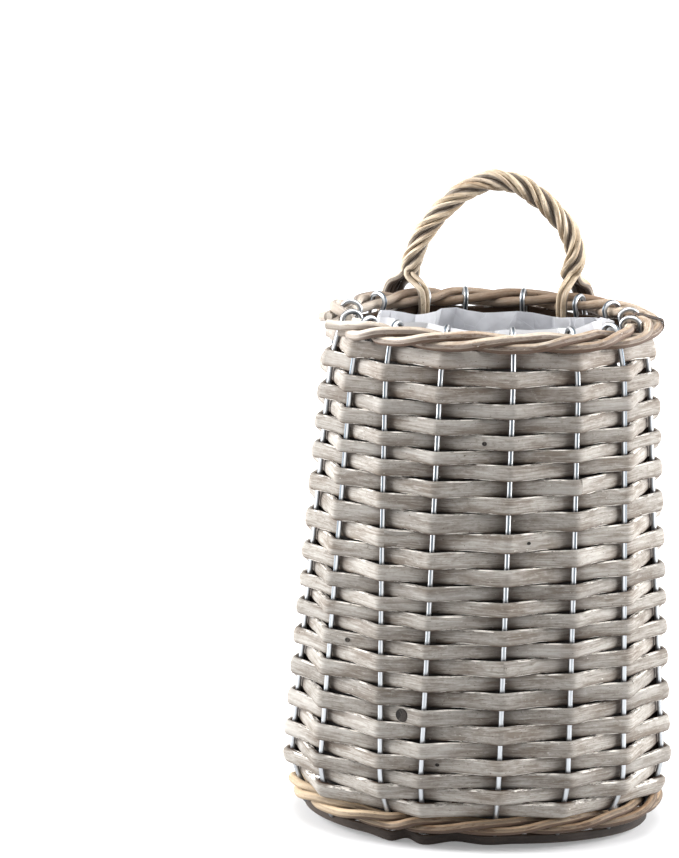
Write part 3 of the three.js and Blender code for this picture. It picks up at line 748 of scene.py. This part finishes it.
def smooth_line(points, spacing):
    """A smooth line through points, with its own points an even spacing apart."""
    fine = []
    for index in range(len(points) - 1):
        last = len(points) - 1
        before, start, end, after = (points[min(max(index + aside, 0), last)] for aside in (-1, 0, 1, 2))
        for step in range(smooth_steps):
            share = step / smooth_steps
            fine.append(0.5 * (2 * start + (end - before) * share
                               + (2 * before - 5 * start + 4 * end - after) * share * share
                               + (3 * start - before - 3 * end + after) * share ** 3))
    fine.append(points[-1])
    reach = [0.0]
    for index in range(1, len(fine)):
        reach.append(reach[-1] + (fine[index] - fine[index - 1]).length)
    count = max(2, round(reach[-1] / spacing))
    even, index = [], 0
    for step in range(count + 1):
        wanted = reach[-1] * step / count
        while index < len(reach) - 2 and reach[index + 1] < wanted:
            index += 1
        span = max(reach[index + 1] - reach[index], 1e-9)
        even.append(fine[index].lerp(fine[index + 1], min(1.0, (wanted - reach[index]) / span)))
    return even


def foot_point(place, reach, sideways, level):
    """A point at a foot of the handle, so far out from the rim, and so far along it."""
    point = wall_point(place, rim_level, rim_twist["line"] + reach, level)
    along = (wall_point(place + 1 / 3, rim_level) - wall_point(place, rim_level)).normalized()
    return point - along * math.copysign(sideways, sideways * point.x)


def strand_foot(place, strand):
    if strand == 0:
        tuck_lean, knee_lean = inner_leans[place]
        return [foot_point(place, -foot_reach, -tuck_lean, rim_level - handle_tuck),
                foot_point(place, -foot_reach, -knee_lean, rim_top - handle_knee_drop)]
    sideways = strand_swing * math.sin(turn / 3 * strand)
    return [foot_point(place, foot_reach, sideways + outer_foot_lean, rim_level - handle_tuck),
            foot_point(place, foot_reach, sideways + outer_foot_lean * knee_lean_share,
                       rim_top - handle_knee_drop)]


def handle_strand_lays(strand):
    """The two rods of one strand. They lie side by side across the rope's surface all the way."""
    ends = [foot_point(place, 0, 0, rim_top) for place in (left_foot, right_foot)]
    rope = smooth_line([Vector((handle_half_span * across, mix(ends[0].y, ends[1].y, (across + 1) / 2),
                                rim_top + handle_rise * up)) for across, up in handle_line_shares],
                       rope_spacing)
    turned = []
    for index, middle in enumerate(rope):
        share = index / (len(rope) - 1)
        outward = ahead_at(rope, index).cross(backward).normalized()
        angle = turn * (strand / 3 - handle_turns * share)
        turned.append(middle + (outward * math.sin(angle) - backward * math.cos(angle)) * drawn_swing)
    bends = strand_foot(left_foot, strand) + turned[::4] + strand_foot(right_foot, strand)[::-1]
    line = smooth_line(bends, strand_spacing)
    frames = []
    for index, point in enumerate(line):
        ahead = ahead_at(line, index)
        middle = min(rope, key=lambda each: (each - point).length_squared)
        out = point - middle
        out = (out - ahead * out.dot(ahead)).normalized()
        frames.append((out, ahead.cross(out), ahead))
    lays = []
    for half_out, half_across, spread in twin_rods:
        side = -1 if strand == 1 else 1
        twin = [point + frame[1] * side * spread for point, frame in zip(line, frames)]
        lays.append(lay(twin, frames, half_out, half_across, 60 + strand * 2 + spread * 300))
    return lays


handle_willow = willow_finish("Peeled willow rod, honeyed", "#c6b499", "#866b50", "#ddd2c1", "#efe6d8",
                              0.5, 0.75, 0.45, "#33231a")
for strand in range(3):
    swept_piece(f"handle_rope_strand_{strand + 1}", handle_strand_lays(strand), rod_section, handle_willow,
                "root", [f"handle_strand_{strand + 1}"], wander=0.2 * mm,
                wander_length=20 * mm, swelling=0.08, seed=11 + strand * 3.3)

# Floor strips.
# The floor is split willow woven over and under the straight runs of the wires. Nobody limewashed
# it, so it is the dark brown of old bark and dust.
floor_half_out = strip_thickness / 2
floor_strip_width, floor_strip_pitch = 9 * mm, 9.8 * mm
floor_strip_flat, floor_strip_end, floor_point_spacing = 5 * mm, 4 * mm, 1.5 * mm
floor_runs = [(wire_leg(wire_count // 2 + pair)[-1], wire_leg(wire_count // 2 - 1 - pair)[-1])
              for pair in range(wire_count // 2)]
floor_front = min(front.y for front, back in floor_runs)
floor_back = max(back.y for front, back in floor_runs)
floor_strip_count = math.floor((floor_back - floor_front) / floor_strip_pitch) - 1


def floor_strip_lay(strip):
    depth = (floor_front + floor_back) / 2 + (strip - (floor_strip_count - 1) / 2) * floor_strip_pitch
    stations = []
    for pair, (front, back) in enumerate(floor_runs):
        if front.y + floor_strip_width / 2 < depth < back.y - floor_strip_width / 2:
            offset = wire_radius + fit_gap + floor_half_out
            level = run_level + (offset if (pair + strip) % 2 == 0 else -offset)
            across = mix(front.x, back.x, (depth - front.y) / (back.y - front.y))
            stations += [(across - floor_strip_flat / 2, level), (across + floor_strip_flat / 2, level)]
    stations[0] = (stations[0][0] - floor_strip_end, stations[0][1])
    stations[-1] = (stations[-1][0] + floor_strip_end, stations[-1][1])
    line = []
    for (left, left_level), (right, right_level) in zip(stations, stations[1:]):
        steps = max(2, round((right - left) / floor_point_spacing))
        for step in range(steps):
            share = step / steps
            eased = share * share * (3 - 2 * share)
            line.append(Vector((mix(left, right, share), depth, mix(left_level, right_level, eased))))
    line.append(Vector((stations[-1][0], depth, stations[-1][1])))
    frames = []
    for index in range(len(line)):
        ahead = ahead_at(line, index)
        frames.append((ahead.cross(backward), backward, ahead))
    return lay(line, frames, floor_half_out, floor_strip_width / 2, 80 + strip)


flat_outline = [(-1, -0.8), (-0.6, -0.97), (0, -1), (0.6, -0.97), (1, -0.8), (1, 0),
                (1, 0.8), (0.6, 0.97), (0, 1), (-0.6, 0.97), (-1, 0.8), (-1, 0)]
flat_section = section_of("flat_section", flat_outline)
floor_willow = willow_finish("Unwashed split willow", "#6b5646", "#46372b", "#857260", "#8f7f6c",
                             0.35, 0.8, 0.7)
for strip in range(floor_strip_count):
    swept_piece(f"floor_strip_{strip + 1}", [floor_strip_lay(strip)], flat_section, floor_willow, "root",
                [f"base_strip_{strip + 1}"], swelling=0.03, seed=31 + strip * 2.9)

# Floor edge strip.
# A strip of willow stands on edge round the wires, under the lower border. It bulges out before
# each wire and tucks in between, and shows below the border as dark scallops. Its near-black
# colour is painted shade, the shade under the border.
edge_strip_half_out, edge_strip_height, edge_strip_narrow = 1.1 * mm, 5.4 * mm, 5.1 * mm
edge_strip_out, edge_strip_tuck, edge_strip_lift = -1.8 * mm, 5.6 * mm, 1.5 * mm
edge_strip_right_out, edge_strip_right_lift = -1.8 * mm, 2.5 * mm
edge_strip_left_out, edge_strip_left_lift, edge_strip_left_height = -2.6 * mm, 1.4 * mm, 4.7 * mm
edge_strip_right_from, edge_strip_right_over = -12 * mm, 35 * mm
edge_strip_left_from, edge_strip_left_over = -42 * mm, 22 * mm
edge_joint, edge_steps_per_wire, edge_rest_gap = 4, 12, 0.3 * mm


def edge_strip_lay():
    end_share = weaver_end_gap / (turn * back_depths[0] / wire_count)
    start, end = edge_joint + end_share, edge_joint + wire_count - end_share
    steps = wire_count * edge_steps_per_wire
    points, frames, half_up = [], [], []
    for step in range(steps + 1):
        place = mix(start, end, step / steps)
        tucked = (1 - math.cos(turn * place)) / 2
        across = wall_point(place, foot_level).x
        rightward = clamped((across - edge_strip_right_from) / edge_strip_right_over)
        leftward = clamped((edge_strip_left_from - across) / edge_strip_left_over)
        height = mix(edge_strip_height, edge_strip_narrow, rightward)
        half_up.append(mix(height, edge_strip_left_height, leftward) / 2)
        lifted = end_lift(place, foot_level)
        lift = mix(edge_strip_lift * tucked + lifted, edge_strip_right_lift, rightward)
        out = mix(mix(edge_strip_out, -edge_strip_tuck, tucked), edge_strip_right_out, rightward)
        lift = mix(lift, edge_strip_left_lift + lifted, leftward)
        out = mix(out, edge_strip_left_out, leftward)
        points.append(wall_point(place, foot_level, out, half_up[-1] + edge_rest_gap + lift))
    for index in range(len(points)):
        ahead = ahead_at(points, index)
        frames.append((ahead.cross(upward).normalized(), upward, ahead))
    return lay(points, frames, edge_strip_half_out, half_up, 97)


# Painted shade: the strip is coloured near black, for the shade under the lower border.
edge_willow_in_shade = willow_finish("Willow in painted shade", "#302722", "#1b1512", "#4b4039", "#6a5d52",
                            0.3, 0.8, 0.7)
swept_piece("floor_edge_strip", [edge_strip_lay()], flat_section, edge_willow_in_shade, "root",
            ["base_edge_strip"], swelling=0.03, seed=57.0)

# Film liner.
# A bag of thin clear polythene, heat-sealed flat, opened out and pushed down inside the weave.
# It holds fold lines and soft crumples, and its cut edge stands loose under the hooks.
liner_floor = run_level + wire_radius + fit_gap + strip_thickness + fit_gap
floor_inset, heel_inset, weave_inset, rim_inset = 17 * mm, 14 * mm, 7.8 * mm, 14.6 * mm
heel_rise, heel_height, rim_height, rim_narrowing, top_drop = 6 * mm, 18 * mm, 36 * mm, 12 * mm, 2 * mm
liner_profile = [(floor_inset, liner_floor), (heel_inset, liner_floor + heel_rise),
                 (weave_inset, liner_floor + heel_height), (weave_inset, rim_level - rim_height),
                 (rim_inset, rim_level - rim_height + rim_narrowing), (rim_inset, rim_top - top_drop)]
film_thickness = 0.12 * mm
film_columns, film_rows = 52, 13
fold_depth, edge_from_share = 7.5 * mm, 0.86
front_edge_drop, back_edge_drop, edge_wave = 1.5 * mm, 8.5 * mm, 2.6 * mm
pleats_across = 2.9


def film_point(place, share, fold):
    """A point of the film at a place round the basket and a share of the way up its profile."""
    lengths = [0.0]
    for (inset, level), (next_inset, next_level) in zip(liner_profile, liner_profile[1:]):
        lengths.append(lengths[-1] + math.hypot(next_inset - inset, next_level - level))
    wanted = share * lengths[-1]
    index = max(part for part in range(len(liner_profile) - 1) if lengths[part] <= wanted or part == 0)
    part = (wanted - lengths[index]) / (lengths[index + 1] - lengths[index])
    inset = mix(liner_profile[index][0], liner_profile[index + 1][0], part)
    level = mix(liner_profile[index][1], liner_profile[index + 1][1], part)
    inset += fold_depth * fold * min(1.0, share * 8)
    upper = max(0.0, (share - edge_from_share) / (1 - edge_from_share))
    behind = max(0.0, math.sin(turn * turn_share(place, rim_level))) ** 0.7
    level -= upper * mix(front_edge_drop, back_edge_drop, behind)
    level += upper * edge_wave * noise.noise(Vector((place * 1.3, 4.4, 0.0)))
    return wall_point(place, max(level, foot_level), -inset, level)


def crumpled_bag():
    """The film as small facets that rise and fall in upright pleats, as heat-sealed film crumples."""
    shape = bmesh.new()
    rings = []
    for line in range(film_rows + 1):
        ring = []
        for column in range(film_columns):
            cell = Vector((column * 5.31, line * 7.77, 2.9))
            aside, away, fold = (noise.noise(cell + Vector((0.0, 0.0, shift)))
                                 for shift in (0.0, 31.0, 67.0))
            angle = turn * column / film_columns
            round_place = Vector((math.cos(angle), math.sin(angle), 0.0)) * pleats_across
            pleat = noise.noise(round_place + Vector((0.0, 0.0, 0.33 * line + 5.1)))
            inner = 0 < line < film_rows
            place = wire_count * (column + 0.7 * aside) / film_columns
            share = (line + (0.7 * away if inner else 0.0)) / film_rows
            ring.append(shape.verts.new(film_point(place, share, 0.5 + 1.1 * pleat + 0.4 * fold)))
        rings.append(ring)
    for line in range(film_rows):
        for column in range(film_columns):
            after = (column + 1) % film_columns
            corners = [rings[line][column], rings[line][after], rings[line + 1][after],
                       rings[line + 1][column]]
            halves = ((0, 1, 2), (0, 2, 3)) if (line + column) % 2 else ((0, 1, 3), (1, 2, 3))
            for half in halves:
                shape.faces.new([corners[corner] for corner in half])
    shape.faces.new(rings[0][::-1])
    mesh = bpy.data.meshes.new("film_bag")
    shape.to_mesh(mesh)
    shape.free()
    return mesh


liner = crumpled_bag()
carrier = new_object("film_bag", liner)
walls = carrier.modifiers.new("Film thickness", "SOLIDIFY")
walls.thickness = film_thickness
walls.offset = -1.0


def clear_film():
    """Low-density polythene film: milky and glossy inside and where it stands loose. Its outer side is
    dulled by dust where it lies on the weave, and is painted near black there as the shade behind
    the weave."""
    film, add, shader = new_finish("Clear polythene film")
    coordinates = add("ShaderNodeTexCoord").outputs
    place, facing = coordinates["Object"], coordinates["Normal"]
    milk = add("ShaderNodeTexNoise", {"Vector": place, "Scale": 42.0, "Detail": 4.0})
    cloudy = add("ShaderNodeMapRange", {"Value": milk, "From Min": 0.35, "From Max": 0.65,
                                        "To Min": 0.66, "To Max": 0.97})
    height = add("ShaderNodeSeparateXYZ", {0: place}).outputs["Z"]
    above = add("ShaderNodeMapRange", {"Value": height, "From Min": rim_level - 9 * mm,
                                       "From Max": rim_level - 5 * mm})
    sideways = add("ShaderNodeVectorMath", {0: place, 1: (1.0, 1.0, 0.0)}, operation="MULTIPLY")
    outward = add("ShaderNodeVectorMath", {0: sideways, 1: facing}, operation="DOT_PRODUCT")
    inner = add("ShaderNodeMapRange", {"Value": outward.outputs["Value"], "From Min": 0.004,
                                       "From Max": -0.004})
    loose = add("ShaderNodeMath", {0: above, 1: inner}, operation="MAXIMUM")
    rough = add("ShaderNodeMapRange", {"Value": loose, "To Min": 0.8, "To Max": 0.14})
    creases = add("ShaderNodeTexVoronoi", {"Vector": place, "Scale": 70.0},
                  feature="DISTANCE_TO_EDGE").outputs["Distance"]
    folded = add("ShaderNodeMapRange", {"Value": creases, "From Min": 0.05, "From Max": 0.0})
    whiter = add("ShaderNodeMath", {0: cloudy, 1: folded}, operation="MAXIMUM")
    milky = add("ShaderNodeMapRange", {"Value": loose, "To Min": 1.0, "To Max": whiter})
    # Painted shade: the outer side of the film, behind the weave, is near black.
    tone = add("ShaderNodeValToRGB", {"Fac": loose})
    shaded_outside, clear = tone.color_ramp.elements
    shaded_outside.color, clear.color = linear("#2c2a29"), linear("#f6f7fb")
    bump = add("ShaderNodeBump", {"Height": creases, "Strength": 0.6, "Distance": 1.2 * mm})
    connect(shader, {"Base Color": tone, "Roughness": rough, "IOR": 1.51, "Alpha": milky, "Normal": bump})
    return film


liner.materials.append(clear_film())
film_bag = settled_piece("film_bag", carrier, "root", ["film_liner"], crease=16)

# Tie wire.
# A few turns of thin dark iron wire bind the ends of the rim rods at the right-hand corner.
tie_radius = 0.42 * mm
tie_place = 0.969 * wire_count
tie_turns, tie_steps_per_turn, tie_drift, tie_gap = 3.4, 12, 1.6 * mm, 0.4 * mm
tie_spacing = 0.6 * mm


def tie_line():
    rods = [twist_point(rim_twist, rim_level, rod, tie_place) for rod in range(3)]
    inside, outside = (wall_point(tie_place, rim_level, out) for out in (0.0, rim_rod_radius))
    outward = (outside - inside).normalized()
    line = []
    for step in range(round(tie_turns * tie_steps_per_turn) + 1):
        angle = turn * step / tie_steps_per_turn
        aim = outward * math.cos(angle) + upward * math.sin(angle)
        rod = max(rods, key=lambda each: each.dot(aim))
        point = rod + aim * (rim_rod_radius + tie_gap + tie_radius)
        point.y += tie_drift * (step / tie_steps_per_turn - tie_turns / 2)
        line.append(point)
    return smooth_line(line, tie_spacing)


def black_iron():
    """Annealed iron binding wire: dark, dull, with a trace of rust."""
    iron, add, shader = new_finish("Annealed iron wire")
    place = add("ShaderNodeTexCoord").outputs["Object"]
    rust = add("ShaderNodeTexNoise", {"Vector": place, "Scale": 700.0, "Detail": 2.0})
    tone = add("ShaderNodeValToRGB", {"Fac": rust})
    bare, rusty = tone.color_ramp.elements
    bare.position, bare.color = 0.4, linear("#4b4a4a")
    rusty.position, rusty.color = 0.7, linear("#6d5a4d")
    connect(shader, {"Base Color": tone, "Metallic": 1.0, "Roughness": 0.5})
    return iron


tie = tie_line()
tie_frames = carried_frame(tie, Vector((0.1, 0.2, 0.97)))
swept_piece("corner_tie", [lay(tie, tie_frames, tie_radius, tie_radius, 0.0)], round_section,
            black_iron(), "root", ["tie_wire"])

# Floor, light and camera.
# A white table, two large soft lights at the sides and one above, and a long lens a little above.
# The cross sections have done their work, and go first.
for name in ("round_section", "split_section", "rod_section", "flat_section"):
    bpy.data.objects.remove(bpy.data.objects[name])


def seen_by_camera(add):
    """Is 1 for what the camera sees, in a reflection and through film too, and 0 for the light."""
    rays = add("ShaderNodeLightPath").outputs
    straight = add("ShaderNodeMath", {0: rays["Is Camera Ray"], 1: rays["Is Glossy Ray"]},
                   operation="MAXIMUM")
    return add("ShaderNodeMath", {0: straight, 1: rays["Is Transmission Ray"]}, operation="MAXIMUM")


def white_table():
    """Matt white laminate. The camera sees it as white where no shadow falls, and the further from
    the basket, the less of it is left to the lamps."""
    laminate, add, shader = new_finish("Matt white laminate")
    place = add("ShaderNodeTexCoord").outputs["Object"]
    reach = add("ShaderNodeVectorMath", {0: place}, operation="LENGTH").outputs["Value"]
    share = add("ShaderNodeMapRange", {"Value": reach, "From Min": 90 * mm, "From Max": 290 * mm,
                                       "To Min": 0.24, "To Max": 1.0})
    glow = add("ShaderNodeMath", {0: seen_by_camera(add), 1: share}, operation="MULTIPLY")
    connect(shader, {"Base Color": linear("#cfcfd0"), "Roughness": 0.9,
                     "Emission Color": linear("#ffffff"), "Emission Strength": glow})
    return laminate


table = bpy.data.meshes.new("table")
table_reach = 6.0
table.from_pydata([(-table_reach, -table_reach, 0), (table_reach, -table_reach, 0),
                   (table_reach, table_reach, 0), (-table_reach, table_reach, 0)], [], [(0, 1, 2, 3)])
table.materials.append(white_table())
new_object("table", table)

sky = bpy.data.worlds.new("White studio")
sky.use_nodes = True
add = partial(add_node, sky.node_tree)
strength = add("ShaderNodeMapRange", {"Value": seen_by_camera(add), "To Min": 0.27, "To Max": 1.0})
connect(sky.node_tree.nodes["Background"], {"Color": linear("#ffffff"), "Strength": strength})
bpy.context.scene.world = sky


def soft_light(name, place, width, height, watts, aim=Vector((0.0, 0.0, 0.15))):
    lamp = bpy.data.lights.new(name, "AREA")
    lamp.shape, lamp.size, lamp.size_y, lamp.energy = "RECTANGLE", width, height, watts
    light = new_object(name, lamp)
    light.location = place
    light.rotation_euler = (aim - Vector(place)).to_track_quat("-Z", "Y").to_euler()


soft_light("left_softbox", (-1.4, 0.05, 0.55), 0.8, 1.2, 50)
soft_light("right_softbox", (1.4, 0.05, 0.55), 0.8, 1.2, 45)
soft_light("top_softbox", (0.0, -0.2, 1.5), 1.0, 1.0, 17)

photo_width = 679
camera_distance, camera_rise = 2.2, math.radians(15)
pixel_size = 0.535 * mm
focal_pixels = camera_distance / pixel_size
aimed_at = Vector((0.0, 5.5 * mm, 150 * mm))
aimed_pixel_offset = (151, -110)
camera_roll = math.radians(1.3)
lens = bpy.data.cameras.new("long_lens")
lens.sensor_fit, lens.sensor_width = "HORIZONTAL", 36.0
lens.lens = focal_pixels * lens.sensor_width / photo_width
lens.clip_end = 100.0
camera = new_object("camera", lens)
camera.location = aimed_at + Vector((0.0, -math.cos(camera_rise), math.sin(camera_rise))) * camera_distance
yaw = aimed_pixel_offset[0] / focal_pixels
pitch = camera_rise + aimed_pixel_offset[1] / focal_pixels
camera.rotation_euler = (Matrix.Rotation(yaw, 4, "Z") @ Matrix.Rotation(math.pi / 2 - pitch, 4, "X")
                         @ Matrix.Rotation(camera_roll, 4, "Z")).to_euler()
bpy.context.scene.camera = camera
bpy.context.scene.view_settings.view_transform = "Standard"
